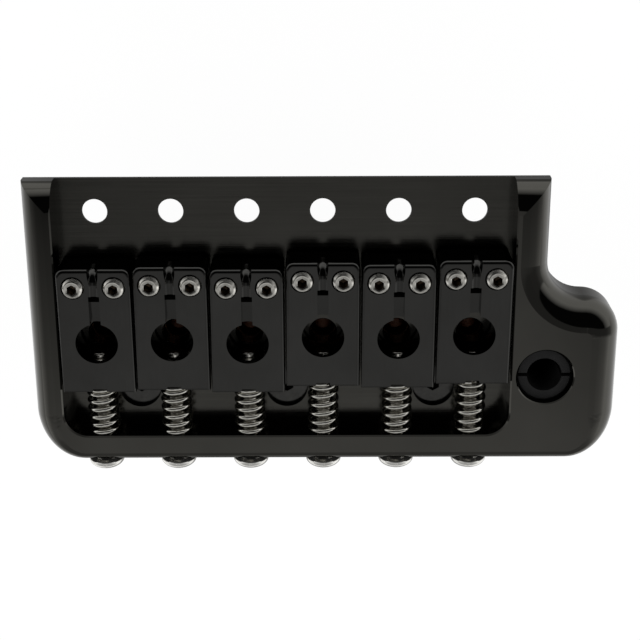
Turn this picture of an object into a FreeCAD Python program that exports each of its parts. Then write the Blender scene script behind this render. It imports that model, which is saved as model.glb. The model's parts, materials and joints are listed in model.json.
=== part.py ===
import FreeCAD, Part
import math
import os

# Six-string tremolo bridge: a walled base plate with an arm lobe, a sustain block under it, and six
# saddles that tilt on height screws and slide on sprung intonation screws.
# Frame: origin on the plate floor at the middle of the mounting holes, +X to the arm side,
# +Y to the neck, +Z up. Millimetres and degrees.

V = FreeCAD.Vector
X_AXIS = V(1, 0, 0)
Y_AXIS = V(0, 1, 0)
Z_AXIS = V(0, 0, 1)

# Strings and mounting holes
string_count = 6
string_pitch = 10.45
mount_count = 6
mount_pitch = 10.5
mount_hole_r = 1.75
mount_land = 0.5

# Base plate
plate_depth = 40.4
front_edge_y = 4.74
floor_thickness = 3.2
front_edge_thickness = 0.6
front_bevel_run = 7.5
rear_wall_thickness = 3.79
side_wall_thickness = 4.37
arm_side_wall_thickness = 4.9
wall_height = 4.8
pocket_corner_r = 3.4
outer_corner_r = 7.0
side_round_r = 4.2
rear_round_r = 1.2
wall_ramp_r = 4.4
wall_ramp_trim = 0.16
inner_edge_break = 0.2

# Arm lobe and its bushing
arm_hole_r = 4.0
arm_web = 0.85
arm_hole_break = 0.15
arm_from_rear = 12.66
lobe_wall = 6.46
lobe_front_reach = 10.75
lobe_corner_r = 5.0
lobe_inner_r = 5.4
arm_boss_wall = 2.0
arm_boss_drop = 5.0
bushing_fit = 0.05
bushing_recess = 1.1
bushing_edge_break = 0.3
bushing_floor = 1.0
arm_bore_r = 2.45
bushing_slit = 0.5
bushing_slit_depth = 7.0
tension_screw_r = 1.45
tension_screw_fit = 0.05
tension_screw_z = 0.8
tension_screw_inset = 0.8
tension_screw_tip_gap = 0.1
tension_socket_flats = 1.3
tension_socket_depth = 1.6

# Saddles: the rooms are from the rear wall to each saddle's rear face
saddle_gap = 0.2
saddle_side_gap = 0.3
saddle_length = 18.3
saddle_thickness = 4.8
saddle_floor_gap = 0.1
saddle_tilt = 2.5
saddle_rooms = (7.12, 7.42, 7.03, 7.97, 7.67, 8.22)
saddle_front_corner_r = 1.15
saddle_edge_round = 0.25
saddle_nose_round = 0.5
string_hole_r = 2.95
string_hole_setback = 10.9
slot_width = 1.5
slot_bottom_round = 0.7
ramp_depth = 1.45
ramp_front_depth = 0.95
ramp_length = 5.9
relief_depth = 2.4
relief_length = 1.1
nose_r = 2.1
nose_drop = 0.2
nose_setback = 2.35
nose_fall = 70
spring_seat_depth = 0.5
spring_seat_gap = 0.35

# Height screws
height_screw_r = 1.38
height_screw_fit = 0.05
height_screw_spacing = 5.6
height_screw_setback = 2.6
height_screw_proud = 0.85
height_screw_floor_gap = 0.32
height_socket_flats = 1.27
height_socket_depth = 2.2
height_screw_chamfer = 0.25
height_hole_break = 0.2

# Intonation screws
intonation_screw_r = 1.48
intonation_screw_fit = 0.05
intonation_tip_reach = 0.5
intonation_wall_play = 0.32
intonation_head_r = 2.52
intonation_head_rim = 0.2
intonation_head_height = 1.55
intonation_head_gap = 0.3
cross_recess_width = 0.8
cross_recess_span = 3.0
cross_recess_depth = 0.8

# Intonation springs
spring_wire = 0.55
spring_screw_gap = 0.2
spring_floor_gap = 0.25
spring_turns = 5
spring_bend_r = 0.7
spring_end_gap = 0.12

# Sustain block and its screws
block_side_margin = 3.4
block_front_margin = 4.1
block_thickness = 17.2
block_height = 38.0
block_taper_drop = 12.0
block_taper_run = 2.6
block_edge_break = 0.6
plate_string_hole_r = 1.85
plate_string_hole_break = 0.15
plate_string_hole_shift = 0.85
string_bore_r = 1.4
string_mouth_r = 1.8
string_mouth_depth = 2.2
ball_pocket_r = 2.2
ball_pocket_depth = 24.0
claw_hole_count = 5
claw_hole_pitch = 10.5
claw_hole_r = 1.6
claw_hole_depth = 12.0
claw_hole_from_rear = 6.0
block_screw_count = 3
block_screw_pitch = 21.1
block_screw_from_wall = 5.57
block_screw_r = 2.0
block_screw_head_r = 2.95
block_screw_head_rim = 0.3
block_screw_sink = 0.9
block_screw_fit = 0.06
block_screw_bite = 10.0
block_socket_flats = 1.8
block_socket_depth = 1.2

os.makedirs("parts", exist_ok=True)


def row(count, pitch):
    """Evenly spaced places along X, with the row's middle at zero."""
    return [(i - (count - 1) / 2) * pitch for i in range(count)]


# Places worked out from the sizes above
string_xs = row(string_count, string_pitch)
mount_xs = row(mount_count, mount_pitch)
block_screw_xs = row(block_screw_count, block_screw_pitch)
claw_hole_xs = row(claw_hole_count, claw_hole_pitch)
saddle_width = string_pitch - saddle_gap
pocket_half = string_xs[-1] + saddle_width / 2 + saddle_side_gap
outer_left = -pocket_half - side_wall_thickness
outer_right = pocket_half + arm_side_wall_thickness
rear_outer_y = front_edge_y - plate_depth
rear_inner_y = rear_outer_y + rear_wall_thickness
wall_ramp_end_y = front_edge_y + wall_ramp_trim
wall_ramp_start_y = wall_ramp_end_y - wall_ramp_r
plate_bottom = -floor_thickness
above_walls = 2 * wall_height
arm_x = pocket_half + arm_web + arm_hole_r
arm_y = rear_outer_y + arm_from_rear
lobe_outer_x = arm_x + arm_hole_r + lobe_wall
lobe_front_y = arm_y + lobe_front_reach
arm_boss_bottom = plate_bottom - arm_boss_drop
bushing_top = wall_height - bushing_recess
bushing_bore_bottom = arm_boss_bottom + bushing_floor

spring_mean_r = intonation_screw_r + spring_screw_gap + spring_wire / 2
spring_outer_r = spring_mean_r + spring_wire / 2
spring_seat_r = spring_outer_r + spring_seat_gap
intonation_z = max(saddle_thickness / 2 + saddle_floor_gap, spring_outer_r + spring_floor_gap)
pivot = V(0, rear_outer_y + rear_wall_thickness / 2, intonation_z)
saddle_setbacks = [-(rear_inner_y + room + saddle_length) for room in saddle_rooms]
mean_setback = sum(saddle_setbacks) / len(saddle_setbacks)
mean_saddle_hole_y = -mean_setback - string_hole_setback
string_hole_y = mean_saddle_hole_y - plate_string_hole_shift
intonation_hole_r = intonation_screw_r + intonation_wall_play
intonation_head_y = rear_outer_y - intonation_head_gap
intonation_tip_y = mean_saddle_hole_y - string_hole_r + intonation_tip_reach
intonation_length = intonation_tip_y - intonation_head_y

block_screw_y = rear_inner_y + block_screw_from_wall
block_half = string_xs[-1] + block_side_margin
block_front_y = string_hole_y + block_front_margin
block_rear_y = block_front_y - block_thickness
block_bottom = plate_bottom - block_height
claw_hole_y = block_rear_y + block_taper_run + claw_hole_from_rear


def box(x0, x1, y0, y1, z0, z1):
    return Part.makeBox(x1 - x0, y1 - y0, z1 - z0, V(x0, y0, z0))


def rod(r, base, axis, length):
    return Part.makeCylinder(r, length, base, axis)


def hole(r, base, axis, length):
    """Rod that clears a hole of the given length: it runs past both ends by its own radius."""
    return rod(r, base - axis * r, axis, length + 2 * r)


def cone(r0, r1, base, axis, length):
    return Part.makeCone(r0, r1, length, base, axis)


def edge_break(r, mouth, size):
    """Cone that breaks the edge of an upright hole at its mouth."""
    return cone(r, r + 2 * size, mouth - Z_AXIS * size, Z_AXIS, 2 * size)


def line(a, b):
    return Part.LineSegment(a, b).toShape()


def arc(a, middle, b):
    return Part.Arc(a, middle, b).toShape()


def round_corner(centre, r, start_angle, end_angle):
    """Arc in a plane of constant Z, from one angle to the other, in degrees."""
    points = []
    for angle in (start_angle, (start_angle + end_angle) / 2, end_angle):
        turn = math.radians(angle)
        points.append(centre + V(r * math.cos(turn), r * math.sin(turn), 0))
    return arc(*points)


def chain(parts):
    """Closed wire of the given arcs, with a straight run from each arc to the next."""
    edges = []
    for first, second in zip(parts, parts[1:] + parts[:1]):
        edges.append(first)
        start = first.Vertexes[-1].Point
        end = second.Vertexes[0].Point
        if not start.isEqual(end, FreeCAD.Base.Precision.confusion()):
            edges.append(line(start, end))
    return Part.Wire(edges)


def prism(points, direction):
    return Part.Face(Part.makePolygon(points + points[:1])).extrude(direction)


def hexagon(flats, base, axis, depth):
    """Hexagonal bar that starts at base and runs along axis."""
    corner_r = flats / math.sqrt(3)
    turn = FreeCAD.Rotation(Z_AXIS, axis)
    corners = []
    for i in range(6):
        angle = math.radians(60 * i + 30)
        corner = V(corner_r * math.cos(angle), corner_r * math.sin(angle), 0)
        corners.append(base + turn.multVec(corner))
    return prism(corners, axis * depth)


def tilted(shape):
    """Saddles and their screws stand nose-up, turned about the rear wall's screw holes."""
    turned = shape.copy()
    turned.rotate(pivot, X_AXIS, saddle_tilt)
    return turned


def save(name, shape):
    shape.exportStep("parts/" + name + ".step")


def plate_outline(z):
    """Outer edge of the plate, up to the full end of the wall ramps, with the arm lobe on the right."""
    rear_y = rear_outer_y + outer_corner_r
    rear_left = V(outer_left + outer_corner_r, rear_y, z)
    rear_right = V(lobe_outer_x - outer_corner_r, rear_y, z)
    lobe_front = V(lobe_outer_x - lobe_corner_r, lobe_front_y - lobe_corner_r, z)
    lobe_inner = V(outer_right + lobe_inner_r, lobe_front_y + lobe_inner_r, z)
    return chain([
        round_corner(rear_left, outer_corner_r, 180, 270),
        round_corner(rear_right, outer_corner_r, 270, 360),
        round_corner(lobe_front, lobe_corner_r, 0, 90),
        round_corner(lobe_inner, lobe_inner_r, 270, 180),
        line(V(outer_right, wall_ramp_end_y, z), V(outer_left, wall_ramp_end_y, z)),
    ])


def pocket_outline(grow, z):
    """Edge of the space between the walls, open to the front, with rounded rear corners."""
    corner_r = pocket_corner_r + grow
    half = pocket_half + grow
    centre_x = pocket_half - pocket_corner_r
    centre_y = rear_inner_y + pocket_corner_r
    front = front_edge_y + side_wall_thickness
    return chain([
        round_corner(V(-centre_x, centre_y, z), corner_r, 180, 270),
        round_corner(V(centre_x, centre_y, z), corner_r, 270, 360),
        line(V(half, front, z), V(-half, front, z)),
    ])


def plate_pocket():
    """Space between the walls, with the walls' top inner edge broken."""
    well = Part.Face(pocket_outline(0, 0)).extrude(Z_AXIS * above_walls)
    lower = pocket_outline(0, wall_height - inner_edge_break)
    upper = pocket_outline(2 * inner_edge_break, wall_height + inner_edge_break)
    return well.fuse(Part.makeLoft([lower, upper], True, True))


def wall_ramp():
    """Waste above the rounded front ends of the side walls."""
    x0 = -lobe_outer_x
    top = V(x0, wall_ramp_start_y, wall_height)
    centre = top - Z_AXIS * wall_ramp_r
    points = []
    for angle in (0, math.pi / 4, math.pi / 2):
        points.append(centre + V(0, math.sin(angle), math.cos(angle)) * wall_ramp_r)
    over_end = V(x0, wall_ramp_end_y, above_walls)
    over_start = V(x0, wall_ramp_start_y, above_walls)
    edges = [
        arc(*points),
        line(points[2], over_end),
        line(over_end, over_start),
        line(over_start, top),
    ]
    return Part.Face(Part.Wire(edges)).extrude(X_AXIS * (2 * lobe_outer_x))


def edge_round(point):
    """Radius of the plate's outer top rounding at a point: full along the sides, small along the rear."""
    return rear_round_r if point.y < rear_outer_y + outer_corner_r / 2 else side_round_r


def round_edges(body, picked):
    """Fillet with a start and an end radius for each picked edge, as (edge number, start, end)."""
    document = FreeCAD.newDocument("rounding")
    base = document.addObject("Part::Feature", "base")
    base.Shape = body
    rounding = document.addObject("Part::Fillet", "rounding")
    rounding.Base = base
    rounding.Edges = picked
    document.recompute()
    result = rounding.Shape.copy()
    FreeCAD.closeDocument(document.Name)
    return result


def edge_ends(edge):
    return edge.valueAt(edge.FirstParameter), edge.valueAt(edge.LastParameter)


def round_outer_edges(body):
    """Round the outer top edge of the plate, with a radius that shrinks round the rear corners."""
    picked = []
    for number, edge in enumerate(body.Edges, 1):
        start, end = edge_ends(edge)
        is_front = min(start.y, end.y) > lobe_front_y + lobe_inner_r
        if edge.BoundBox.ZMin > wall_height / 2 and not is_front:
            picked.append((number, edge_round(start), edge_round(end)))
    return round_edges(body, picked)


def mounting_hole(x):
    land = rod(mount_hole_r, V(x, 0, -mount_land), Z_AXIS, mount_land + mount_hole_r)
    spread = floor_thickness
    flare = cone(mount_hole_r + spread, mount_hole_r, V(x, 0, -mount_land - spread), Z_AXIS, spread)
    return land.fuse(flare)


def block_screw_seat(x):
    """Sunk countersink in the plate for a block screw."""
    head_r = block_screw_head_r + block_screw_fit
    shank_r = block_screw_r + block_screw_fit
    rim_bottom = -block_screw_sink - block_screw_head_rim
    seat = rod(head_r, V(x, block_screw_y, rim_bottom), Z_AXIS, head_r - rim_bottom)
    drop = head_r - shank_r
    taper = cone(shank_r, head_r, V(x, block_screw_y, rim_bottom - drop), Z_AXIS, drop)
    shank = hole(shank_r, V(x, block_screw_y, plate_bottom), Z_AXIS, rim_bottom - shank_r - plate_bottom)
    return seat.fuse([taper, shank])


def front_bevel():
    """Waste before and under the front edge, which leaves a thin pivot edge."""
    x0 = -lobe_outer_x
    rear = front_edge_y - front_bevel_run
    points = [
        V(x0, rear, plate_bottom),
        V(x0, front_edge_y, -front_edge_thickness),
        V(x0, front_edge_y, wall_height),
        V(x0, wall_ramp_end_y, wall_height),
        V(x0, wall_ramp_end_y, plate_bottom),
    ]
    return prism(points, X_AXIS * (2 * lobe_outer_x))


def base_plate():
    body = Part.Face(plate_outline(plate_bottom)).extrude(Z_AXIS * (floor_thickness + wall_height))
    body = round_outer_edges(body).cut(wall_ramp())
    body = body.cut(plate_pocket())
    body = body.cut(front_bevel())
    boss_r = arm_hole_r + arm_boss_wall
    body = body.fuse(rod(boss_r, V(arm_x, arm_y, arm_boss_bottom), Z_AXIS, arm_boss_drop))
    cuts = [mounting_hole(x) for x in mount_xs]
    cuts += [block_screw_seat(x) for x in block_screw_xs]
    for x in string_xs:
        cuts.append(hole(plate_string_hole_r, V(x, string_hole_y, plate_bottom), Z_AXIS, floor_thickness))
        cuts.append(edge_break(plate_string_hole_r, V(x, string_hole_y, 0), plate_string_hole_break))
        cuts.append(hole(intonation_hole_r, V(x, rear_outer_y, intonation_z), Y_AXIS, rear_wall_thickness))
    arm_length = wall_height - arm_boss_bottom
    cuts.append(hole(arm_hole_r, V(arm_x, arm_y, arm_boss_bottom), Z_AXIS, arm_length))
    cuts.append(edge_break(arm_hole_r, V(arm_x, arm_y, wall_height), arm_hole_break))
    tension_r = tension_screw_r + tension_screw_fit
    tension_length = arm_from_rear - arm_hole_r
    cuts.append(hole(tension_r, V(arm_x, rear_outer_y, tension_screw_z), Y_AXIS, tension_length))
    for cut in cuts:
        body = body.cut(cut)
    return body.removeSplitter()


def arm_bushing():
    """Split sleeve with a closed floor that grips a push-in arm."""
    outer_r = arm_hole_r - bushing_fit
    shoulder = V(arm_x, arm_y, bushing_top - bushing_edge_break)
    sleeve = rod(outer_r, V(arm_x, arm_y, arm_boss_bottom), Z_AXIS, shoulder.z - arm_boss_bottom)
    crown = cone(outer_r, outer_r - bushing_edge_break, shoulder, Z_AXIS, bushing_edge_break)
    bore_length = bushing_top - bushing_bore_bottom
    bore = rod(arm_bore_r, V(arm_x, arm_y, bushing_bore_bottom), Z_AXIS, bore_length + arm_bore_r)
    half = bushing_slit / 2
    x0 = arm_x - arm_hole_r
    x1 = arm_x + arm_hole_r
    slit = box(x0, x1, arm_y - half, arm_y + half, bushing_top - bushing_slit_depth, wall_height)
    return sleeve.fuse(crown).cut(bore).cut(slit).removeSplitter()


def arm_tension_screw():
    """Headless screw in the rear of the lobe that presses on the split sleeve."""
    start_y = rear_outer_y + tension_screw_inset
    end_y = arm_y - arm_hole_r + bushing_fit - tension_screw_tip_gap
    start = V(arm_x, start_y, tension_screw_z)
    screw = rod(tension_screw_r, start, Y_AXIS, end_y - start_y)
    socket = hexagon(tension_socket_flats, start, Y_AXIS, tension_socket_depth)
    return screw.cut(socket)


def sustain_block():
    """Heavy block under the plate: string bores, ball-end pockets and claw-spring holes."""
    profile = [
        V(-block_half, block_front_y, plate_bottom),
        V(-block_half, block_rear_y, plate_bottom),
        V(-block_half, block_rear_y, plate_bottom - block_taper_drop),
        V(-block_half, block_rear_y + block_taper_run, block_bottom),
        V(-block_half, block_front_y, block_bottom),
    ]
    body = prism(profile, X_AXIS * (2 * block_half))
    low_edges = [e for e in body.Edges if e.BoundBox.ZMax < plate_bottom - block_edge_break]
    body = body.makeChamfer(block_edge_break, low_edges)
    cuts = []
    for x in string_xs:
        mouth = V(x, string_hole_y, plate_bottom - string_mouth_depth)
        anchor = V(x, string_hole_y, block_bottom)
        cuts.append(cone(string_bore_r, string_mouth_r, mouth, Z_AXIS, string_mouth_depth))
        cuts.append(rod(string_bore_r, anchor, Z_AXIS, block_height))
        cuts.append(rod(ball_pocket_r, anchor, Z_AXIS, ball_pocket_depth))
    for x in claw_hole_xs:
        cuts.append(rod(claw_hole_r, V(x, claw_hole_y, block_bottom), Z_AXIS, claw_hole_depth))
    thread_r = block_screw_r + block_screw_fit
    for x in block_screw_xs:
        start = V(x, block_screw_y, plate_bottom - block_screw_bite)
        cuts.append(hole(thread_r, start, Z_AXIS, block_screw_bite))
    for cut in cuts:
        body = body.cut(cut)
    return body


def block_screw(x):
    """Countersunk screw from the floor of the pocket into the block."""
    top = -block_screw_sink
    rim_bottom = top - block_screw_head_rim
    drop = block_screw_head_r - block_screw_r
    end = plate_bottom - block_screw_bite
    rim = rod(block_screw_head_r, V(x, block_screw_y, rim_bottom), Z_AXIS, block_screw_head_rim)
    taper = cone(block_screw_r, block_screw_head_r, V(x, block_screw_y, rim_bottom - drop), Z_AXIS, drop)
    shank = rod(block_screw_r, V(x, block_screw_y, end), Z_AXIS, rim_bottom - drop - end)
    socket_floor = V(x, block_screw_y, top - block_socket_depth)
    socket = hexagon(block_socket_flats, socket_floor, Z_AXIS, 2 * block_socket_depth)
    return rim.fuse([taper, shank]).cut(socket).removeSplitter()


def saddle_slot(x, front_y, top):
    """String slot: a grooved nose, a relief behind it, and a ramp that leads back to the string hole."""
    x0 = x - slot_width / 2
    x1 = x + slot_width / 2
    hole_y = front_y - string_hole_setback
    relief_rear = hole_y + ramp_length
    relief_front = relief_rear + relief_length
    clear_z = top + ramp_depth
    land_z = top - nose_drop
    crest = V(x0, front_y - nose_setback, land_z)
    centre = crest - Z_AXIS * nose_r
    fall = math.radians(nose_fall)
    points = []
    for angle in (0, fall / 2, fall):
        points.append(centre + V(0, math.sin(angle), math.cos(angle)) * nose_r)
    toe = points[2] + V(0, math.cos(fall), -math.sin(fall)) * nose_r
    land_rear = V(x0, relief_front, land_z)
    edges = [
        line(land_rear, crest),
        arc(*points),
        line(points[2], toe),
        line(toe, V(x0, toe.y, clear_z)),
        line(V(x0, toe.y, clear_z), V(x0, relief_front, clear_z)),
        line(V(x0, relief_front, clear_z), land_rear),
    ]
    groove = Part.Face(Part.Wire(edges)).extrude(X_AXIS * slot_width)
    bottom_edges = []
    for edge in groove.Edges:
        length_box = edge.BoundBox
        if length_box.XLength < slot_width / 2 and length_box.ZMax < top:
            bottom_edges.append(edge)
    groove = groove.makeFillet(slot_bottom_round, bottom_edges)
    relief = box(x0, x1, relief_rear, relief_front, top - relief_depth, clear_z)
    ramp_profile = [
        V(x0, hole_y, top - ramp_depth),
        V(x0, relief_rear, top - ramp_front_depth),
        V(x0, relief_rear, clear_z),
        V(x0, hole_y, clear_z),
    ]
    ramp = prism(ramp_profile, X_AXIS * slot_width)
    return groove.fuse([relief, ramp])


def round_saddle_top(body, front_y):
    """Round the top edges of a saddle, with a radius that grows towards its front."""
    picked = []
    for number, edge in enumerate(body.Edges, 1):
        if edge.BoundBox.ZMin > intonation_z:
            radii = []
            for point in edge_ends(edge):
                in_front = point.y > front_y - saddle_length / 2
                radii.append(saddle_nose_round if in_front else saddle_edge_round)
            picked.append((number, *radii))
    return round_edges(body, picked)


def saddle(x, setback):
    front_y = -setback
    rear_y = front_y - saddle_length
    bottom = intonation_z - saddle_thickness / 2
    top = intonation_z + saddle_thickness / 2
    half = saddle_width / 2
    body = box(x - half, x + half, rear_y, front_y, bottom, top)
    upright = [e for e in body.Edges if e.BoundBox.ZLength > saddle_thickness / 2]
    front_upright = [e for e in upright if e.BoundBox.YMin > (front_y + rear_y) / 2]
    body = body.makeFillet(saddle_front_corner_r, front_upright)
    body = round_saddle_top(body, front_y)
    hole_y = front_y - string_hole_setback
    bore_r = intonation_screw_r + intonation_screw_fit
    seat_start = V(x, rear_y - spring_seat_r, intonation_z)
    cuts = [
        hole(string_hole_r, V(x, hole_y, bottom), Z_AXIS, saddle_thickness),
        saddle_slot(x, front_y, top),
        rod(spring_seat_r, seat_start, Y_AXIS, spring_seat_r + spring_seat_depth),
        rod(bore_r, V(x, rear_y - bore_r, intonation_z), Y_AXIS, bore_r + hole_y - rear_y),
    ]
    for side in (-1, 1):
        place = V(x + side * height_screw_spacing / 2, front_y - height_screw_setback, bottom)
        thread_r = height_screw_r + height_screw_fit
        cuts.append(hole(thread_r, place, Z_AXIS, saddle_thickness))
        cuts.append(edge_break(thread_r, place + Z_AXIS * saddle_thickness, height_hole_break))
    for cut in cuts:
        body = body.cut(cut)
    return body


def height_screw(x, setback, side):
    """Headless screw through the saddle's front, which stands on the plate floor."""
    lever = -setback - height_screw_setback - pivot.y
    slope = math.radians(saddle_tilt)
    tip_rise = height_screw_floor_gap - pivot.z - lever * math.sin(slope)
    tip_z = pivot.z + tip_rise / math.cos(slope)
    top = intonation_z + saddle_thickness / 2 + height_screw_proud
    place = V(x + side * height_screw_spacing / 2, -setback - height_screw_setback, 0)
    small_r = height_screw_r - height_screw_chamfer
    shoulder = place + Z_AXIS * (top - height_screw_chamfer)
    socket_floor = place + Z_AXIS * (top - height_socket_depth)
    body = rod(height_screw_r, place + Z_AXIS * (tip_z + height_screw_chamfer), Z_AXIS,
               top - tip_z - 2 * height_screw_chamfer)
    tip = cone(small_r, height_screw_r, place + Z_AXIS * tip_z, Z_AXIS, height_screw_chamfer)
    crown = cone(height_screw_r, small_r, shoulder, Z_AXIS, height_screw_chamfer)
    socket = hexagon(height_socket_flats, socket_floor, Z_AXIS, 2 * height_socket_depth)
    return body.fuse([tip, crown]).cut(socket).removeSplitter()


def intonation_screw(x):
    """Round-headed screw through the rear wall, with its tip in the saddle's string hole."""
    start = V(x, intonation_head_y, intonation_z)
    rim = start - Y_AXIS * intonation_head_rim
    apex = start - Y_AXIS * intonation_head_height
    corner = start + X_AXIS * intonation_head_r
    shoulder = rim + X_AXIS * intonation_head_r
    crown = Part.Ellipse(shoulder, apex, rim).toShape(0, math.pi / 2)
    edges = [
        line(start, corner),
        line(corner, shoulder),
        crown,
        line(apex, start),
    ]
    head = Part.Face(Part.Wire(edges)).revolve(start, Y_AXIS, 360)
    shank = rod(intonation_screw_r, start, Y_AXIS, intonation_length)
    width = cross_recess_width / 2
    span = cross_recess_span / 2
    y0 = apex.y - cross_recess_depth
    y1 = apex.y + cross_recess_depth
    upright = box(x - width, x + width, y0, y1, intonation_z - span, intonation_z + span)
    level = box(x - span, x + span, y0, y1, intonation_z - width, intonation_z + width)
    return head.fuse(shank).cut(upright).cut(level).removeSplitter()


def biarc(p0, t0, p1, t1):
    """Two arcs that leave p0 along t0 and arrive at p1 along t1."""
    span = p1 - p0
    pull = span.dot(t0 + t1)
    spread = 2 * (1 - t0.dot(t1))
    reach = (math.sqrt(pull * pull + spread * span.dot(span)) - pull) / spread
    c0 = p0 + t0 * reach
    c1 = p1 - t1 * reach
    joint = (c0 + c1) * 0.5
    edges = []
    for a, c, b in ((p0, c0, joint), (joint, c1, p1)):
        cosine = a.distanceToPoint(b) / (2 * reach)
        share = cosine / (1 + cosine)
        middle = (a + b) * (0.5 * (1 - share)) + c * share
        edges.append(arc(a, middle, b))
    return edges


def spring_path(x, start_y, end_y):
    """Knots of a right-hand spring with a straight leg and a bend at each end: points and directions."""
    bend_run = spring_bend_r
    coil_start = start_y + spring_wire + bend_run
    coil_end = end_y - spring_wire - bend_run
    climb = (coil_end - coil_start) / (2 * math.pi * spring_turns)
    quarters = 4 * spring_turns
    bend_turn = bend_run / spring_mean_r

    def on_coil(y, angle):
        return V(x + spring_mean_r * math.sin(angle), y, intonation_z + spring_mean_r * math.cos(angle))

    def along_coil(angle):
        way = V(spring_mean_r * math.cos(angle), climb, -spring_mean_r * math.sin(angle))
        return way.normalize()

    last_angle = 2 * math.pi * spring_turns
    knots = [
        (on_coil(start_y, -bend_turn), Y_AXIS),
        (on_coil(start_y + spring_wire, -bend_turn), Y_AXIS),
    ]
    for step in range(quarters + 1):
        angle = last_angle * step / quarters
        knots.append((on_coil(coil_start + climb * angle, angle), along_coil(angle)))
    end_angle = last_angle + bend_turn
    knots += [
        (on_coil(end_y - spring_wire, end_angle), Y_AXIS),
        (on_coil(end_y, end_angle), Y_AXIS),
    ]
    return knots


def least_gap(wire):
    """Least distance between turns of the wire's skin, measured on points along its middle line."""
    points_per_turn = 60
    points = wire.discretize(Number=points_per_turn * spring_turns)
    step = wire.Length / (len(points) - 1)
    skip = int(math.pi * spring_mean_r / step)
    least = min(
        points[i].distanceToPoint(points[j])
        for i in range(len(points))
        for j in range(i + skip, len(points))
    )
    return least - spring_wire


def intonation_spring(x, setback):
    start_y = rear_inner_y + spring_end_gap
    end_y = -setback - saddle_length + spring_seat_depth - spring_end_gap
    knots = spring_path(x, start_y, end_y)
    edges = [line(knots[0][0], knots[1][0])]
    for (p0, t0), (p1, t1) in zip(knots[1:-2], knots[2:-1]):
        edges += biarc(p0, t0, p1, t1)
    edges.append(line(knots[-2][0], knots[-1][0]))
    path = Part.Wire(edges)
    ring = Part.Wire(Part.makeCircle(spring_wire / 2, knots[0][0], Y_AXIS))
    pipe = Part.BRepOffsetAPI.MakePipeShell(path)
    pipe.add(ring)
    pipe.build()
    pipe.makeSolid()
    spring = Part.Solid(pipe.shape())
    section = math.pi * spring_wire ** 2 / 4
    share = spring.Volume / (section * path.Length)
    found = (x, least_gap(path), share)
    print("spring at x %.2f: least gap %.2f mm, volume over section times length %.4f" % found)
    return spring


save("base_plate", base_plate())
save("sustain_block", sustain_block())
save("block_screws", Part.makeCompound([block_screw(x) for x in block_screw_xs]))
save("arm_bushing", arm_bushing())
save("arm_tension_screw", arm_tension_screw())
for number, (string_x, setback) in enumerate(zip(string_xs, saddle_setbacks), 1):
    save("saddle_%d" % number, tilted(saddle(string_x, setback)))
    save("intonation_screw_%d" % number, tilted(intonation_screw(string_x)))
    save("intonation_spring_%d" % number, tilted(intonation_spring(string_x, setback)))
    for side, word in ((-1, "bass"), (1, "treble")):
        save("height_screw_%d_%s" % (number, word), tilted(height_screw(string_x, setback, side)))
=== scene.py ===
import json
import math

import bpy
import numpy as np
from mathutils import Matrix, Vector


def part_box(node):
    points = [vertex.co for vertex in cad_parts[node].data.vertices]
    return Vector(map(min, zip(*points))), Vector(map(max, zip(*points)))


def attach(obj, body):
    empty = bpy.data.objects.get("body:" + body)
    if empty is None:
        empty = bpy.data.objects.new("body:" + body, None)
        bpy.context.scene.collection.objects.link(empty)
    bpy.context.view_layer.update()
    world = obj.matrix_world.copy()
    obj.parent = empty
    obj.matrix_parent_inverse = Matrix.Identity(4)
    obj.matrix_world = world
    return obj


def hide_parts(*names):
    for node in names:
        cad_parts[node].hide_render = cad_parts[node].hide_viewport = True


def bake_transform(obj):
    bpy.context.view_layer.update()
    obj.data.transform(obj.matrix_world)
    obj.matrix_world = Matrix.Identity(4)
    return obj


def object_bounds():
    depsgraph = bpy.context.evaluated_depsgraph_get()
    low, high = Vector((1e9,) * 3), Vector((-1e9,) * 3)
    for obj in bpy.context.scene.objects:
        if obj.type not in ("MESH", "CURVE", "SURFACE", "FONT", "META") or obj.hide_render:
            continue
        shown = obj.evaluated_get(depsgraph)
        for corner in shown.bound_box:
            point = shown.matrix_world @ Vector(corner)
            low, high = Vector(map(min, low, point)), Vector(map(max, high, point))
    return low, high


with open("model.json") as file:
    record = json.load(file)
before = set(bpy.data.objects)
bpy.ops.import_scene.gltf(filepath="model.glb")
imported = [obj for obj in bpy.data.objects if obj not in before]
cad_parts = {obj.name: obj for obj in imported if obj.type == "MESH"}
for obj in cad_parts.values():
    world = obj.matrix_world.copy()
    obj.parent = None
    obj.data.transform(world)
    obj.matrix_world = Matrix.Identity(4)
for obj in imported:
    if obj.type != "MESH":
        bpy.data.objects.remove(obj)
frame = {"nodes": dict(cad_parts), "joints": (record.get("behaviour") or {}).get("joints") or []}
cad_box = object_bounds()

# Lengths in metres, angles in degrees
MM = 0.001
STRINGS = range(1, 7)
SIDES = ("bass", "treble")

# Screws: one pitch of thread goes from root to crest and back in these shares of its depth
THREAD_STEPS = (0.0, 0.0, 0.5, 1.0, 0.5)
SCREW_SIDES = 48
SCREW_SHARP_ANGLE = 40
MERGE_STEP = 0.001 * MM

SET_SCREW_R = 1.38 * MM
SET_SCREW_PITCH = 0.635 * MM
SET_SCREW_THREAD = 0.3 * MM
SET_SCREW_CHAMFER = 0.25 * MM
SET_SOCKET_FLATS = 1.27 * MM
SET_SOCKET_CORNER_R = SET_SOCKET_FLATS / math.sqrt(3)
SET_SOCKET_DEPTH = 2.2 * MM
SET_SOCKET_BREAK = 0.1 * MM
SET_SOCKET_POINT = 0.35 * MM

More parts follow.
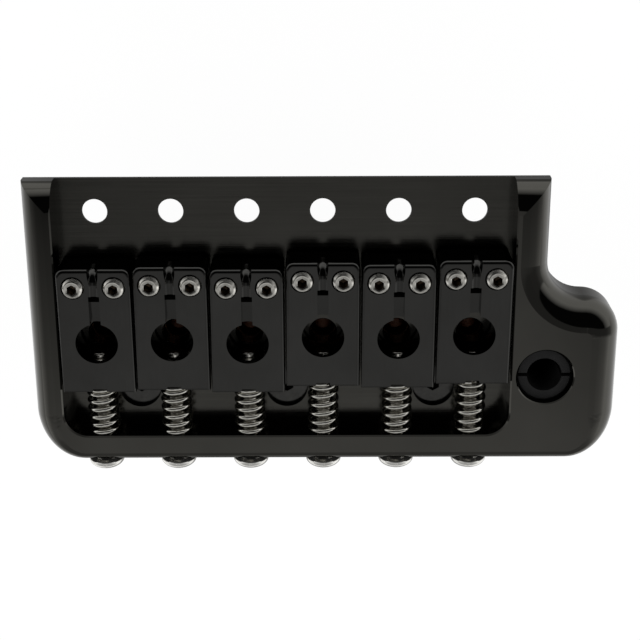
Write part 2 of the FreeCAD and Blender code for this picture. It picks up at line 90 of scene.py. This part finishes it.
SHANK_R = 1.48 * MM
SHANK_PITCH = 0.5 * MM
SHANK_THREAD = 0.27 * MM
SHANK_CHAMFER = 0.4 * MM
HEAD_RIM = 0.2 * MM
HEAD_HEIGHT = 1.55 * MM
HEAD_EDGE_ROUND = 0.06 * MM
HEAD_ROOM = 0.03 * MM
DOME_SHARES = (1.0, 0.75, 0.5, 0.32, 0.2, 0.11, 0.05, 0.015, 0.0)
CROSS_SPAN = 1.5 * MM
CROSS_ARM_ANGLE = 15
CROSS_LEAST_ANGLE = 1
CROSS_DEPTH = 0.8 * MM
CROSS_TAPER = 0.55

SPRING_WIRE_R = 0.29 * MM
SPRING_TURNS = 6.3
SPRING_CLOSED_FRONT = 1.2
SPRING_CLOSED_REAR = 0.3
SPRING_CLOSED_PITCH = 0.62 * MM
SPRING_EASE_TURNS = 0.5
SPRING_PHASES = (-70, -40, -60, -95, -50, -110)
SPRING_SIDES = 14
SPRING_STEPS_PER_TURN = 40
SPRING_SHARP_ANGLE = 60
SPRING_END_ROOM = 0.09 * MM

# Finishes: tones are dark and light, noises are scales per metre along X, Y and Z with a detail
PLATE_TONES = ((0.060, 0.0585, 0.0525), (0.098, 0.0955, 0.086))
PLATE_CLOUD = (90, 90, 90)
PLATE_CLOUD_SHARE = (0.36, 0.64)
PLATE_POLISH = (700, 700, 700)
PLATE_ROUGHNESS = (0.04, 0.07)
PLATE_FLOOR_Z = 0.0
PLATE_FLOOR_BAND = 0.1 * MM
BRUSH = (45, 4200, 45)
BRUSH_DETAIL = 5.0
BRUSH_NOISE_ROUGHNESS = 0.65
BRUSH_STREAK = (-0.35, 0.35)
BRUSH_ROUGHNESS = (0.06, 0.16)
BRUSH_DEPTH = 0.009 * MM

STEEL_FILM = ((1100, 1100, 1100), 4.0)
UPRIGHT_MARKS = ((2500, 2500, 9000), 3.0)
LYING_MARKS = ((2500, 9000, 2500), 3.0)
FINISHES = {
    "black_nickel_saddle": {
        "tones": ((0.0525, 0.052, 0.0495), (0.0595, 0.059, 0.0565)), "film": ((160, 160, 160), 3.0),
        "roughness": (0.09, 0.16), "marks": ((3500, 500, 3500), 4.0), "depth": 0.0008 * MM,
    },
    "stainless": {
        "tones": ((0.60, 0.585, 0.54), (0.84, 0.82, 0.76)), "film": STEEL_FILM,
        "roughness": (0.14, 0.26), "marks": UPRIGHT_MARKS, "depth": 0.004 * MM,
    },
    # Painted shade: dark brown tone for the faces inside the hex socket, standing in for the recess's shade
    "socket_painted_shade": {
        "tones": ((0.20, 0.165, 0.13), (0.34, 0.29, 0.235)), "film": STEEL_FILM,
        "roughness": (0.24, 0.4), "marks": UPRIGHT_MARKS, "depth": 0.004 * MM,
    },
    "bright_nickel": {
        "tones": ((0.80, 0.79, 0.75), (0.92, 0.91, 0.87)), "film": STEEL_FILM,
        "roughness": (0.1, 0.18), "marks": LYING_MARKS, "depth": 0.001 * MM, "metallic": 0.94,
    },
    # Painted shade: the intonation screw's shank, darker than its nickel head, for the shade inside the
    # springs
    "shank_painted_shade": {
        "tones": ((0.50, 0.485, 0.445), (0.68, 0.66, 0.61)), "film": STEEL_FILM,
        "roughness": (0.12, 0.22), "marks": LYING_MARKS, "depth": 0.002 * MM,
    },
    "spring_wire": {
        "tones": ((0.84, 0.82, 0.75), (0.95, 0.93, 0.86)), "film": STEEL_FILM,
        "roughness": (0.12, 0.2), "marks": ((2000, 2000, 2000), 3.0), "depth": 0.002 * MM,
    },
    "blackened_steel": {
        "tones": ((0.066, 0.065, 0.062), (0.082, 0.081, 0.077)), "film": STEEL_FILM,
        "roughness": (0.14, 0.24), "marks": ((3000, 3000, 3000), 3.0), "depth": 0.001 * MM,
    },
    # Brass tone, partly the block's own colour and partly painted shade: darkened for the shade inside the
    # string holes
    "machined_brass_painted_shade": {
        "tones": ((0.30, 0.155, 0.085), (0.36, 0.19, 0.10)), "film": ((60, 60, 60), 2.0),
        "roughness": (0.24, 0.34), "marks": ((25, 14000, 14000), 2.0), "depth": 0.0015 * MM,
    },
    "black_nylon": {
        "tones": ((0.0055, 0.0055, 0.0055), (0.008, 0.008, 0.008)), "film": ((400, 400, 400), 3.0),
        "roughness": (0.34, 0.5), "marks": ((6000, 6000, 6000), 2.0), "depth": 0.004 * MM,
        "metallic": 0.0, "specular": 0.15,
    },
}

# Camera fitted to the rows of holes and to the walls
CAMERA_PLACE = Vector((5.126, 53.086, 189.994)) * MM
CAMERA_TURN = (-20.0, 0.016, -0.219)
CAMERA_LENS = 80.19
CAMERA_CLIP_START = 1 * MM

# Lamps: name, place and watts
LAMPS = (
    ("lamp_left", (-0.5, 0.1, 0.6), 4.0),
    ("lamp_right", (0.5, 0.1, 0.6), 4.0),
    ("lamp_rear", (0.0, -0.6, 0.5), 3.0),
)
LAMP_SIZE = 0.5

# Light tent: grey levels by the sine of the height above the horizon
SIDE_CLOTH = (
    (0.0, 0.95), (0.1, 0.74), (0.26, 0.52), (0.35, 0.41), (0.5, 0.25), (0.63, 0.09), (0.75, 0.0),
)
REAR_CLOTH = ((0.0, 0.8), (0.08, 0.66), (0.16, 0.4), (0.3, 0.3), (0.5, 0.2), (0.75, 0.0))
FRONT_OPENING = (
    (0.0, 1.0), (0.08, 1.0), (0.2, 0.8), (0.35, 0.44), (0.42, 0.24), (0.49, 0.012), (1.0, 0.012),
)

# Fades of the tent and the table, as first level, last level, start and end.
# In the tent these are shares of a direction, whose Y is below zero to the rear; on the table, metres.
LEFT_SHARE = 0.65
ROOF_BY_Y = (0.44, 0.13, -0.43, -0.25)
ROOF_REAR_FALL = (0.2, 0.0, -0.62, -0.5)
ROOF_LEFT = (1.0, 0.0, -0.24, -0.15)
ROOF_LEFT_BY_Y = (0.0, 0.06, -0.37, -0.27)
ROOF_MIDDLE = (1.0, 0.0, 0.14, 0.2)
ROOF_MIDDLE_BY_Y = (0.04, 0.15, -0.43, -0.27)
ROOF_BY_HEIGHT = (0.0, 1.0, 0.35, 0.75)
SIDE_BY_Y = (1.95, 0.4, -0.43, -0.25)
SIDE_BY_X = (LEFT_SHARE, 1.0, -0.1, 0.1)
REAR_PART = (0.0, 1.0, -0.5, -0.8)
FRONT_PART = (0.0, 1.0, 0.0, 0.06)
# The table's fades paint light and shade on the table as the metal mirrors it: darker to the left, lighter to
# the front and rear
TABLE_BY_X = (LEFT_SHARE, 1.0, -0.15, 0.0)
TABLE_REAR = (1.5, 1.0, -0.02, 0.008)
TABLE_REAR_SLANT = 0.33
TABLE_FRONT = (1.0, 1.6, 0.03, 0.1)

TABLE_HALF = 3.0
TABLE_WHITE = 0.9
TABLE_ROUGHNESS = 0.9
TABLE_GLOW = 0.96

# Table as the metal mirrors it, with a painted shadow: grey levels by the distance past a rectangle, as a
# share of the far distance.
# The rectangle goes round the object, and further than it to the front and the rear.
MIRRORED_TABLE_PAINTED_SHADOW = (
    (0.0, 0.18), (0.04, 0.38), (0.06, 0.8), (0.1, 1.0), (0.27, 1.0), (0.43, 0.9), (0.78, 0.74), (1.0, 0.66),
)
MIRRORED_FAR = 0.4
MIRRORED_FRONT = 0.06
MIRRORED_REAR = 0.3

joints = {joint["name"]: joint for joint in frame["joints"]}


def points_of(node):
    """Vertices of a solid, as rows."""
    mesh = frame["nodes"][node].data
    flat = np.zeros(3 * len(mesh.vertices))
    mesh.vertices.foreach_get("co", flat)
    return flat.reshape(-1, 3)


def reach(node, origin, axis):
    """Lowest and highest distance of a solid along an axis."""
    along = (points_of(node) - np.array(origin)) @ np.array(axis)
    return float(along.min()), float(along.max())


def axis_frame(origin, axis):
    """Matrix that carries local Z to the axis and keeps local X along the part's X."""
    z = Vector(axis).normalized()
    x = Vector((1, 0, 0))
    y = z.cross(x)
    return Matrix.Translation(origin) @ Matrix((x, y, z)).transposed().to_4x4()


def new_piece(name, vertices, faces, place, sharp_angle):
    """Mesh object in its place, with smooth faces and sharp edges past an angle."""
    mesh = bpy.data.meshes.new(name)
    mesh.from_pydata([place @ Vector(v) for v in vertices], [], faces)
    mesh.validate()
    mesh.shade_smooth()
    mesh.set_sharp_from_angle(angle=math.radians(sharp_angle))
    piece = bpy.data.objects.new(name, mesh)
    bpy.context.scene.collection.objects.link(piece)
    return piece


def column_angle(column):
    """Angle of a column of points round a screw."""
    return 2 * math.pi * column / SCREW_SIDES


def off_middle(column, sectors):
    """Angle between a column and the middle of its sector."""
    width = 360 / sectors
    return math.radians((math.degrees(column_angle(column)) + width / 2) % width - width / 2)


def even_ring(r, z):
    """Ring of constant radius and height, one (r, z) pair for each column."""
    return [(r, z)] * SCREW_SIDES


def hexagon_ring(flats, z):
    """Ring along a hexagon with the given distance across its flats."""
    return [(flats / 2 / math.cos(off_middle(column, 6)), z) for column in range(SCREW_SIDES)]


def cross_ring(span, z):
    """Ring along a four-armed cross, whose arm corners lie at the arm angle."""
    width = span * math.tan(math.radians(CROSS_ARM_ANGLE))
    least = math.sin(math.radians(CROSS_LEAST_ANGLE))
    ring = []
    for column in range(SCREW_SIDES):
        off_arm = off_middle(column, 4)
        end = span / math.cos(off_arm)
        side = width / max(abs(math.sin(off_arm)), least)
        ring.append((min(end, side), z))
    return ring


def thread_rows(r, pitch, depth, ends, chamfers):
    """Rows of (r, z) that follow a right-hand thread between two chamfered ends, for every column."""
    z0, z1 = ends
    steps = len(THREAD_STEPS)
    turns = math.ceil((z1 - z0) / pitch + 2)  # one more at each end, pressed flat against it
    rows = []
    for row in range(steps * turns + 1):
        ring = []
        for column in range(SCREW_SIDES):
            z = z0 + pitch * (row / steps + column / SCREW_SIDES - 1)
            z = min(max(z, z0), z1)
            crest = r - depth * (1 - THREAD_STEPS[row % steps])
            near_start = r - chamfers[0] + (z - z0)
            near_end = r - chamfers[1] + (z1 - z)
            ring.append((min(crest, near_start, near_end), z))
        rows.append(ring)
    return rows


def merged(vertices, faces):
    """Joins points that lie on each other, and drops the faces that this leaves with no area."""
    places = {}
    kept = []
    new_index = []
    for vertex in vertices:
        key = tuple(round(c / MERGE_STEP) for c in vertex)
        if key not in places:
            places[key] = len(kept)
            kept.append(vertex)
        new_index.append(places[key])
    clean = []
    for face in faces:
        corners = []
        for corner in face:
            if new_index[corner] not in corners:
                corners.append(new_index[corner])
        if len(corners) > 2:
            clean.append(corners)
    return kept, clean


def screw_piece(name, before, thread, after, place):
    """Closed screw: plain rings, then a thread, then plain rings, with flat ends."""
    rings = before + thread + after
    vertices = []
    for ring in rings:
        for column, (r, z) in enumerate(ring):
            angle = column_angle(column)
            vertices.append((r * math.cos(angle), r * math.sin(angle), z))
    first_row = len(before)
    last_row = first_row + len(thread) - 1

    def index(row, column):
        if column == SCREW_SIDES:
            column = 0
            if first_row <= row <= last_row:
                row = min(row + len(THREAD_STEPS), last_row)
        return row * SCREW_SIDES + column

    faces = [[index(0, column) for column in reversed(range(SCREW_SIDES))]]
    for row in range(len(rings) - 1):
        for column in range(SCREW_SIDES):
            low_edge = (index(row, column), index(row, column + 1))
            high_edge = (index(row + 1, column + 1), index(row + 1, column))
            faces.append(low_edge + high_edge)
    faces.append([index(len(rings) - 1, column) for column in range(SCREW_SIDES)])
    vertices, faces = merged(vertices, faces)
    return new_piece(name, vertices, faces, place, SCREW_SHARP_ANGLE)


def give_painted_shade(piece, place, wanted):
    """Gives a piece's second material, a painted shade, to the faces whose middle, seen from the screw's
    axis, is wanted.
    """
    to_axis = place.inverted()
    for polygon in piece.data.polygons:
        if wanted(to_axis @ polygon.center):
            polygon.material_index = 1


def height_screw(number, side):
    """Headless socket screw with a real thread, in place of its plain solid."""
    node = "height_screw_%d_%s" % (number, side)
    axis = joints[node + "_travel"]["axis"]
    low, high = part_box(node)
    middle = (low + high) / 2
    z0, z1 = reach(node, middle, axis)
    place = axis_frame(middle, axis)
    floor = z1 - SET_SOCKET_DEPTH
    point = floor - SET_SOCKET_POINT
    before = [even_ring((SET_SCREW_R - SET_SCREW_CHAMFER) / 2, z0)]
    chamfers = (SET_SCREW_CHAMFER, SET_SCREW_CHAMFER)
    thread = thread_rows(SET_SCREW_R, SET_SCREW_PITCH, SET_SCREW_THREAD, (z0, z1), chamfers)
    after = [
        even_ring(SET_SOCKET_CORNER_R + SET_SOCKET_BREAK, z1),
        hexagon_ring(SET_SOCKET_FLATS, z1 - SET_SOCKET_BREAK),
        hexagon_ring(SET_SOCKET_FLATS, floor),
        even_ring(SET_SOCKET_BREAK, point),
    ]
    piece = screw_piece(node + "_threaded", before, thread, after, place)

    def in_socket(at):
        deep = z1 - SET_SOCKET_BREAK > at.z > point - SET_SOCKET_BREAK
        return deep and at.xy.length < SET_SOCKET_CORNER_R

    # Painted shade: the faces inside the socket take the dark second material
    give_painted_shade(piece, place, in_socket)
    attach(piece, node)
    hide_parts(node)
    return piece


def intonation_screw(number):
    """Round-headed cross-recess screw with a real thread, in place of its plain solid."""
    node = "intonation_screw_%d" % number
    joint = joints[node + "_turn"]
    origin = Vector(joint["pos_m"])
    axis = Vector(joint["axis"])
    low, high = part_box(node)
    head_r = (high.x - low.x) / 2
    head_top, tip = reach(node, origin, axis)
    seat = head_top + HEAD_HEIGHT - HEAD_ROOM
    place = axis_frame(origin, axis)

    def dome_ring(share):
        ring = []
        for r, _ in cross_ring(CROSS_SPAN, 0):
            at = head_r + (r - head_r) * share
            dome = (HEAD_HEIGHT - HEAD_RIM) * math.sqrt(max(1 - (at / head_r) ** 2, 0))
            ring.append((at, seat - HEAD_RIM - dome))
        return ring

    apex = seat - HEAD_HEIGHT
    before = [cross_ring(CROSS_SPAN * CROSS_TAPER, apex + CROSS_DEPTH)]
    before += [dome_ring(share) for share in DOME_SHARES]
    before += [
        even_ring(head_r, seat - HEAD_EDGE_ROUND),
        even_ring(head_r - HEAD_EDGE_ROUND, seat),
        even_ring(SHANK_R, seat),
    ]
    ends = (seat + SHANK_PITCH, tip)
    thread = thread_rows(SHANK_R, SHANK_PITCH, SHANK_THREAD, ends, (0, SHANK_CHAMFER))
    after = [even_ring((SHANK_R - SHANK_CHAMFER) / 2, tip)]
    piece = screw_piece(node + "_threaded", before, thread, after, place)
    # Painted shade: the shank past the head takes the darker second material
    give_painted_shade(piece, place, lambda at: at.z > seat + HEAD_EDGE_ROUND)
    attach(piece, node)
    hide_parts(node)
    return piece


def past_closed(turns):
    """Share of the open pitch at a number of turns past a spring's closed end."""
    return min(max(turns / SPRING_EASE_TURNS + 0.5, 0), 1)


def spring_line(start, end, phase):
    """Distance along the axis and angle of a spring's wire, with closed turns at both ends."""
    count = int(SPRING_TURNS * SPRING_STEPS_PER_TURN)
    open_turns = SPRING_TURNS - SPRING_CLOSED_FRONT - SPRING_CLOSED_REAR
    closed = SPRING_CLOSED_PITCH * (SPRING_CLOSED_FRONT + SPRING_CLOSED_REAR)
    open_pitch = (end - start - closed) / open_turns
    line = []
    along = start
    for step in range(count + 1):
        turn = step / SPRING_STEPS_PER_TURN
        line.append((along, math.radians(phase) + 2 * math.pi * turn))
        from_rear = past_closed(turn - SPRING_CLOSED_REAR)
        from_front = past_closed(SPRING_TURNS - turn - SPRING_CLOSED_FRONT)
        share = min(from_rear, from_front)
        pitch = SPRING_CLOSED_PITCH + (open_pitch - SPRING_CLOSED_PITCH) * share
        along += pitch / SPRING_STEPS_PER_TURN
    stretch = (end - start) / (line[-1][0] - start)
    return [(start + (s - start) * stretch, angle) for s, angle in line]


def wire_rings(centres):
    """Points of a round wire along its centres, ring after ring."""
    points = []
    for step, centre in enumerate(centres):
        before = centres[max(step - 1, 0)]
        after = centres[min(step + 1, len(centres) - 1)]
        tangent = (after - before).normalized()
        outward = Vector((centre.x, centre.y, 0)).normalized()
        across = tangent.cross(outward).normalized()
        outward = across.cross(tangent)
        for side in range(SPRING_SIDES):
            turn = 2 * math.pi * side / SPRING_SIDES
            points.append(centre + (outward * math.cos(turn) + across * math.sin(turn)) * SPRING_WIRE_R)
    return points


def intonation_spring(number):
    """Wound wire with closed ends, in place of its solid."""
    node = "intonation_spring_%d" % number
    joint = joints["intonation_screw_%d_turn" % number]
    origin = Vector(joint["pos_m"])
    axis = Vector(joint["axis"])
    place = axis_frame(origin, axis)
    start, end = reach(node, origin, axis)
    low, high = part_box(node)
    mean_r = (high.x - low.x) / 2 - SPRING_WIRE_R
    first = start + SPRING_WIRE_R + SPRING_END_ROOM
    line = spring_line(first, end - SPRING_WIRE_R, SPRING_PHASES[number - 1])
    centres = []
    for along, angle in line:
        centres.append(Vector((mean_r * math.sin(angle), -mean_r * math.cos(angle), along)))
    faces = [list(reversed(range(SPRING_SIDES)))]
    for step in range(len(centres) - 1):
        for side in range(SPRING_SIDES):
            a = step * SPRING_SIDES + side
            b = step * SPRING_SIDES + (side + 1) % SPRING_SIDES
            faces.append((a, b, b + SPRING_SIDES, a + SPRING_SIDES))
    faces.append([(len(centres) - 1) * SPRING_SIDES + side for side in range(SPRING_SIDES)])
    piece = new_piece(node + "_wire", wire_rings(centres), faces, place, SPRING_SHARP_ANGLE)
    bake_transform(piece)
    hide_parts(node)
    return piece


class Nodes:
    """Node tree, with short names for the few nodes that the finishes and the stage use."""

    def __init__(self, tree):
        self.tree = tree

    def add(self, kind, **settings):
        node = self.tree.nodes.new(kind)
        for key, value in settings.items():
            setattr(node, key, value)
        return node

    def join(self, source, target):
        self.tree.links.new(source, target)

    def math(self, operation, first, second=0.0):
        node = self.add("ShaderNodeMath", operation=operation)
        for socket, value in zip(node.inputs, (first, second)):
            if isinstance(value, (int, float)):
                socket.default_value = value
            else:
                self.join(value, socket)
        return node.outputs["Value"]

    def between(self, value, low, high, from_low=0.3, from_high=0.7, smooth=False):
        """Value mapped onto the range from low to high; the default limits are those of a noise."""
        node = self.add("ShaderNodeMapRange", interpolation_type="SMOOTHSTEP" if smooth else "LINEAR")
        node.inputs["From Min"].default_value = from_low
        node.inputs["From Max"].default_value = from_high
        node.inputs["To Min"].default_value = low
        node.inputs["To Max"].default_value = high
        self.join(value, node.inputs["Value"])
        return node.outputs["Result"]

    def split(self, vector):
        node = self.add("ShaderNodeSeparateXYZ")
        self.join(vector, node.inputs["Vector"])
        return node.outputs["X"], node.outputs["Y"], node.outputs["Z"]

    def ramp(self, value, stops):
        """Grey levels along a ramp, as (position, level) pairs."""
        node = self.add("ShaderNodeValToRGB")
        elements = node.color_ramp.elements
        elements.remove(elements[-1])
        elements[0].position = stops[0][0]
        for position, _ in stops[1:]:
            elements.new(position)
        for element, (_, level) in zip(elements, stops):
            element.color = (level, level, level, 1)
        self.join(value, node.inputs["Fac"])
        return node.outputs["Color"]

    def mix(self, factor, first, second):
        """First where the factor is zero, second where it is one."""
        node = self.add("ShaderNodeMix", data_type="RGBA")
        self.join(factor, node.inputs["Factor"])
        for socket, value in zip((s for s in node.inputs if s.type == "RGBA"), (first, second)):
            if isinstance(value, tuple):
                socket.default_value = (*value, 1)
            else:
                self.join(value, socket)
        return next(s for s in node.outputs if s.type == "RGBA")


class Shader(Nodes):
    """One node material on the principled surface, in the part's own coordinates."""

    def __init__(self, name):
        self.material = bpy.data.materials.new(name)
        self.material.use_nodes = True
        super().__init__(self.material.node_tree)
        self.surface = self.tree.nodes["Principled BSDF"]
        self.place = self.add("ShaderNodeTexCoord").outputs["Object"]

    def noise(self, per_metre, detail=3.0, rough=0.5):
        """Noise from 0 to 1, with its own scale along each axis."""
        mapping = self.add("ShaderNodeMapping")
        mapping.inputs["Scale"].default_value = per_metre
        self.join(self.place, mapping.inputs["Vector"])
        noise = self.add("ShaderNodeTexNoise")
        noise.inputs["Scale"].default_value = 1.0
        noise.inputs["Detail"].default_value = detail
        noise.inputs["Roughness"].default_value = rough
        self.join(mapping.outputs["Vector"], noise.inputs["Vector"])
        return noise.outputs["Fac"]

    def bump(self, height, distance):
        node = self.add("ShaderNodeBump")
        node.inputs["Distance"].default_value = distance
        node.inputs["Strength"].default_value = 1.0
        self.join(height, node.inputs["Height"])
        self.join(node.outputs["Normal"], self.surface.inputs["Normal"])

    def on_floor(self):
        """One on the plate's floor, zero elsewhere."""
        flat = self.add("ShaderNodeMath", operation="COMPARE")
        self.join(self.split(self.place)[2], flat.inputs[0])
        flat.inputs[1].default_value = PLATE_FLOOR_Z
        flat.inputs[2].default_value = PLATE_FLOOR_BAND
        return flat.outputs["Value"]


def black_nickel_plate():
    """Dark mirror plating; the floor between the walls is finely brushed along the row."""
    shader = Shader("black_nickel_plate")
    shader.surface.inputs["Metallic"].default_value = 1.0
    floor = shader.on_floor()
    cloud = shader.noise(PLATE_CLOUD)
    brush = shader.noise(BRUSH, BRUSH_DETAIL, BRUSH_NOISE_ROUGHNESS)
    streak = shader.math("MULTIPLY", floor, shader.between(brush, *BRUSH_STREAK))
    shade = shader.math("ADD", shader.between(cloud, *PLATE_CLOUD_SHARE), streak)
    shader.join(shader.mix(shade, *PLATE_TONES), shader.surface.inputs["Base Color"])
    polish = shader.between(shader.noise(PLATE_POLISH), *PLATE_ROUGHNESS)
    brushed = shader.math("MULTIPLY", floor, shader.between(brush, *BRUSH_ROUGHNESS))
    shader.join(shader.math("ADD", polish, brushed), shader.surface.inputs["Roughness"])
    shader.bump(shader.math("MULTIPLY", floor, brush), BRUSH_DEPTH)
    return shader.material


def two_tone(name, tones, film, roughness, marks, depth, metallic=1.0, specular=None):
    """Finish with a film in patches of two tones, and fine marks that change its gloss and height."""
    shader = Shader(name)
    shader.surface.inputs["Metallic"].default_value = metallic
    if specular is not None:
        shader.surface.inputs["Specular IOR Level"].default_value = specular
    patches = shader.between(shader.noise(*film), 0, 1)
    shader.join(shader.mix(patches, *tones), shader.surface.inputs["Base Color"])
    lines = shader.noise(*marks)
    shader.join(shader.between(lines, *roughness), shader.surface.inputs["Roughness"])
    shader.bump(lines, depth)
    return shader.material


def dress(piece, *materials):
    """Finish of a solid or piece; a piece's faces already say which of its materials they take."""
    if piece.data.materials:
        piece.data.materials.clear()
    for material in materials:
        piece.data.materials.append(material)


def dress_all():
    """Finish for every solid and piece."""
    nodes = frame["nodes"]
    dress(nodes["base_plate"], black_nickel_plate())
    finish = {name: two_tone(name, **settings) for name, settings in FINISHES.items()}
    dress(nodes["sustain_block"], finish["machined_brass_painted_shade"])
    dress(nodes["block_screws"], finish["blackened_steel"])
    dress(nodes["arm_bushing"], finish["black_nylon"])
    dress(nodes["arm_tension_screw"], finish["stainless"])
    for number in STRINGS:
        dress(nodes["saddle_%d" % number], finish["black_nickel_saddle"])
        dress(intonation_screw(number), finish["bright_nickel"], finish["shank_painted_shade"])
        dress(intonation_spring(number), finish["spring_wire"])
        for side in SIDES:
            dress(height_screw(number, side), finish["stainless"], finish["socket_painted_shade"])


def make_world():
    """Light tent: bright at the horizon, lit from the roof's rear, and dark above the front."""
    world = bpy.data.worlds.new("light_tent")
    world.use_nodes = True
    bpy.context.scene.world = world
    nodes = Nodes(world.node_tree)
    x, y, z = nodes.split(nodes.add("ShaderNodeTexCoord").outputs["Generated"])
    aside = nodes.math("ABSOLUTE", x)
    roof = nodes.between(y, *ROOF_BY_Y)
    roof = nodes.math("SUBTRACT", roof, nodes.between(y, *ROOF_REAR_FALL, smooth=True))
    left = nodes.between(x, *ROOF_LEFT, smooth=True)
    left = nodes.math("MULTIPLY", left, nodes.between(y, *ROOF_LEFT_BY_Y))
    roof = nodes.math("SUBTRACT", roof, left)
    middle = nodes.between(aside, *ROOF_MIDDLE, smooth=True)
    middle = nodes.math("MULTIPLY", middle, nodes.between(y, *ROOF_MIDDLE_BY_Y))
    roof = nodes.math("ADD", roof, middle)
    roof = nodes.math("MULTIPLY", roof, nodes.between(z, *ROOF_BY_HEIGHT, smooth=True))
    side = nodes.math("MULTIPLY", nodes.ramp(z, SIDE_CLOTH), nodes.between(y, *SIDE_BY_Y))
    side = nodes.math("MULTIPLY", side, nodes.between(x, *SIDE_BY_X, smooth=True))
    in_rear = nodes.between(y, *REAR_PART, smooth=True)
    cloth = nodes.mix(in_rear, nodes.math("MINIMUM", side, 1.0), nodes.ramp(z, REAR_CLOTH))
    tent = nodes.math("ADD", cloth, roof)
    in_front = nodes.between(y, *FRONT_PART, smooth=True)
    background = nodes.tree.nodes["Background"]
    nodes.join(nodes.mix(in_front, tent, nodes.ramp(z, FRONT_OPENING)), background.inputs["Color"])


def mirrored_level_painted_shadow(shader):
    """Grey level of the table as the metal mirrors it, darker close to the object as a painted shadow;
    painted shade to the left and painted light to the front and rear.
    """
    low, high = (Vector(corner) for corner in cad_box)
    from_corner = low - Vector((0, MIRRORED_REAR, 0))
    to_corner = high + Vector((0, MIRRORED_FRONT, 0))
    middle = (from_corner + to_corner) / 2
    half = (to_corner - from_corner) / 2
    x, y, _ = shader.split(shader.place)
    past = []
    for place, centre, reach_out in zip((x, y), middle, half):
        off = shader.math("ABSOLUTE", shader.math("SUBTRACT", place, centre))
        past.append(shader.math("MAXIMUM", shader.math("SUBTRACT", off, reach_out), 0.0))
    away = shader.math("SQRT", shader.math("ADD", *(shader.math("POWER", side, 2.0) for side in past)))
    level = shader.ramp(shader.math("DIVIDE", away, MIRRORED_FAR), MIRRORED_TABLE_PAINTED_SHADOW)
    slant = shader.math("MULTIPLY", shader.math("ABSOLUTE", x), TABLE_REAR_SLANT)
    backward = shader.math("ADD", y, slant)
    level = shader.math("MULTIPLY", level, shader.between(x, *TABLE_BY_X))
    level = shader.math("MULTIPLY", level, shader.between(backward, *TABLE_REAR))
    level = shader.math("MULTIPLY", level, shader.between(y, *TABLE_FRONT))
    return shader.math("MINIMUM", level, 1.0)


def make_table():
    """Plain white table under the block, which keeps a faint shadow; the metal mirrors it with a painted
    shadow and painted light.
    """
    floor_z = cad_box[0][2]
    corners = ((-1, -1), (1, -1), (1, 1), (-1, 1))
    mesh = bpy.data.meshes.new("table")
    mesh.from_pydata([(x * TABLE_HALF, y * TABLE_HALF, floor_z) for x, y in corners], [], [(0, 1, 2, 3)])
    table = bpy.data.objects.new("table", mesh)
    bpy.context.scene.collection.objects.link(table)
    shader = Shader("table_white")
    shader.surface.inputs["Base Color"].default_value = (TABLE_WHITE, TABLE_WHITE, TABLE_WHITE, 1)
    shader.surface.inputs["Roughness"].default_value = TABLE_ROUGHNESS
    shader.surface.inputs["Specular IOR Level"].default_value = 0.0
    path = shader.add("ShaderNodeLightPath")
    from_camera = path.outputs["Is Camera Ray"]
    glow = shader.add("ShaderNodeEmission")
    # Painted shadow and light: glossy and transmission rays see the table's glow at the painted grey level
    shader.join(shader.mix(from_camera, mirrored_level_painted_shadow(shader), (1, 1, 1)), glow.inputs["Color"])
    seen = shader.math("MAXIMUM", from_camera, path.outputs["Is Glossy Ray"])
    seen = shader.math("MAXIMUM", seen, path.outputs["Is Transmission Ray"])
    blend = shader.add("ShaderNodeMixShader")
    shader.join(shader.math("MULTIPLY", seen, TABLE_GLOW), blend.inputs["Fac"])
    shader.join(shader.surface.outputs["BSDF"], blend.inputs[1])
    shader.join(glow.outputs["Emission"], blend.inputs[2])
    shader.join(blend.outputs["Shader"], shader.tree.nodes["Material Output"].inputs["Surface"])
    dress(table, shader.material)


def make_lamp(name, place, watts):
    """Soft lamp aimed at the object's middle; its own shape isn't mirrored in the plating."""
    lamp = bpy.data.lights.new(name, "AREA")
    lamp.shape = "SQUARE"
    lamp.size = LAMP_SIZE
    lamp.energy = watts
    holder = bpy.data.objects.new(name, lamp)
    holder.location = place
    middle = (Vector(cad_box[0]) + Vector(cad_box[1])) / 2
    holder.rotation_euler = (middle - Vector(place)).to_track_quat("-Z", "Y").to_euler()
    holder.visible_glossy = False
    bpy.context.scene.collection.objects.link(holder)


def make_camera():
    """Camera above the front, looking down on the plate."""
    data = bpy.data.cameras.new("camera")
    data.lens = CAMERA_LENS
    data.clip_start = CAMERA_CLIP_START
    holder = bpy.data.objects.new("camera", data)
    holder.location = CAMERA_PLACE
    holder.rotation_euler = [math.radians(angle) for angle in CAMERA_TURN]
    bpy.context.scene.collection.objects.link(holder)
    bpy.context.scene.camera = holder


dress_all()
make_world()
make_table()
for lamp_name, lamp_place, lamp_watts in LAMPS:
    make_lamp(lamp_name, lamp_place, lamp_watts)
make_camera()
bpy.context.scene.view_settings.view_transform = "Standard"
